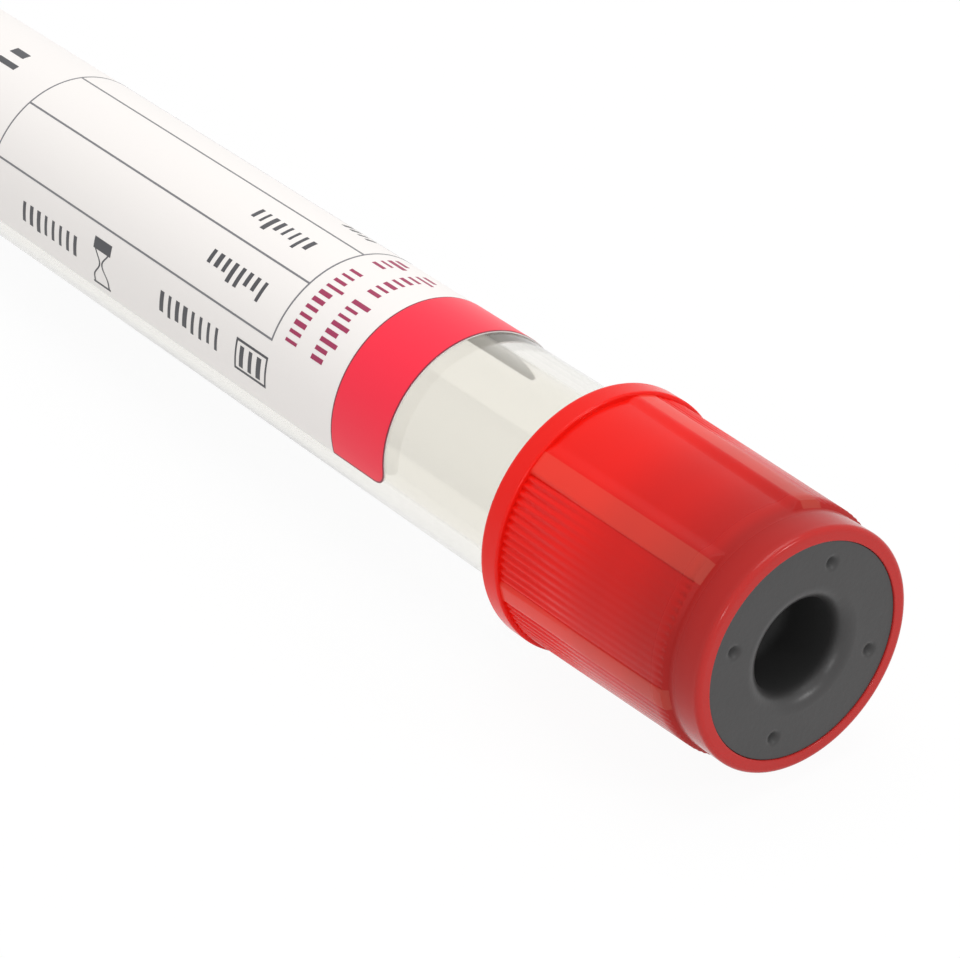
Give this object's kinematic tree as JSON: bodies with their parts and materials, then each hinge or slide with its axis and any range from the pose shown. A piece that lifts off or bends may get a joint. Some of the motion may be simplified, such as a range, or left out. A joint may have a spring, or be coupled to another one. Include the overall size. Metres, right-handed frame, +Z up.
{
  "type": "blood collection tube",
  "caption": "Clear round-bottomed tube with a film label and a pull-off closure of a rubber stopper in a ribbed plastic cap.",
  "frame": {"origin": "on the ground under the middle of the bounding box, with the tube lying on the cap's flange and its own round end", "axes": "+X along the tube towards the closure's front face, +Z up; the tube's axis rises 1.20 degrees towards the closure"},
  "size_m": [0.1058, 0.0164, 0.0164],
  "materials": {
    "clear_tube": "clear moulded PET, polished",
    "label_film": "white printed film",
    "stopper_rubber": "moulded grey butyl rubber, satin",
    "cap_plastic": "translucent red moulded polypropylene, semi-gloss"
  },
  "bodies": {
    "tube": {"tube": "clear_tube", "label": "label_film"},
    "closure": {"stopper": "stopper_rubber", "cap_shield": "cap_plastic"}
  },
  "joints": [
    {"name": "closure_pull", "type": "slide", "parent": "tube", "child": "closure", "axis": [0.9998, 0, 0.0209], "range_m": [0, 0.03]}
  ]
}
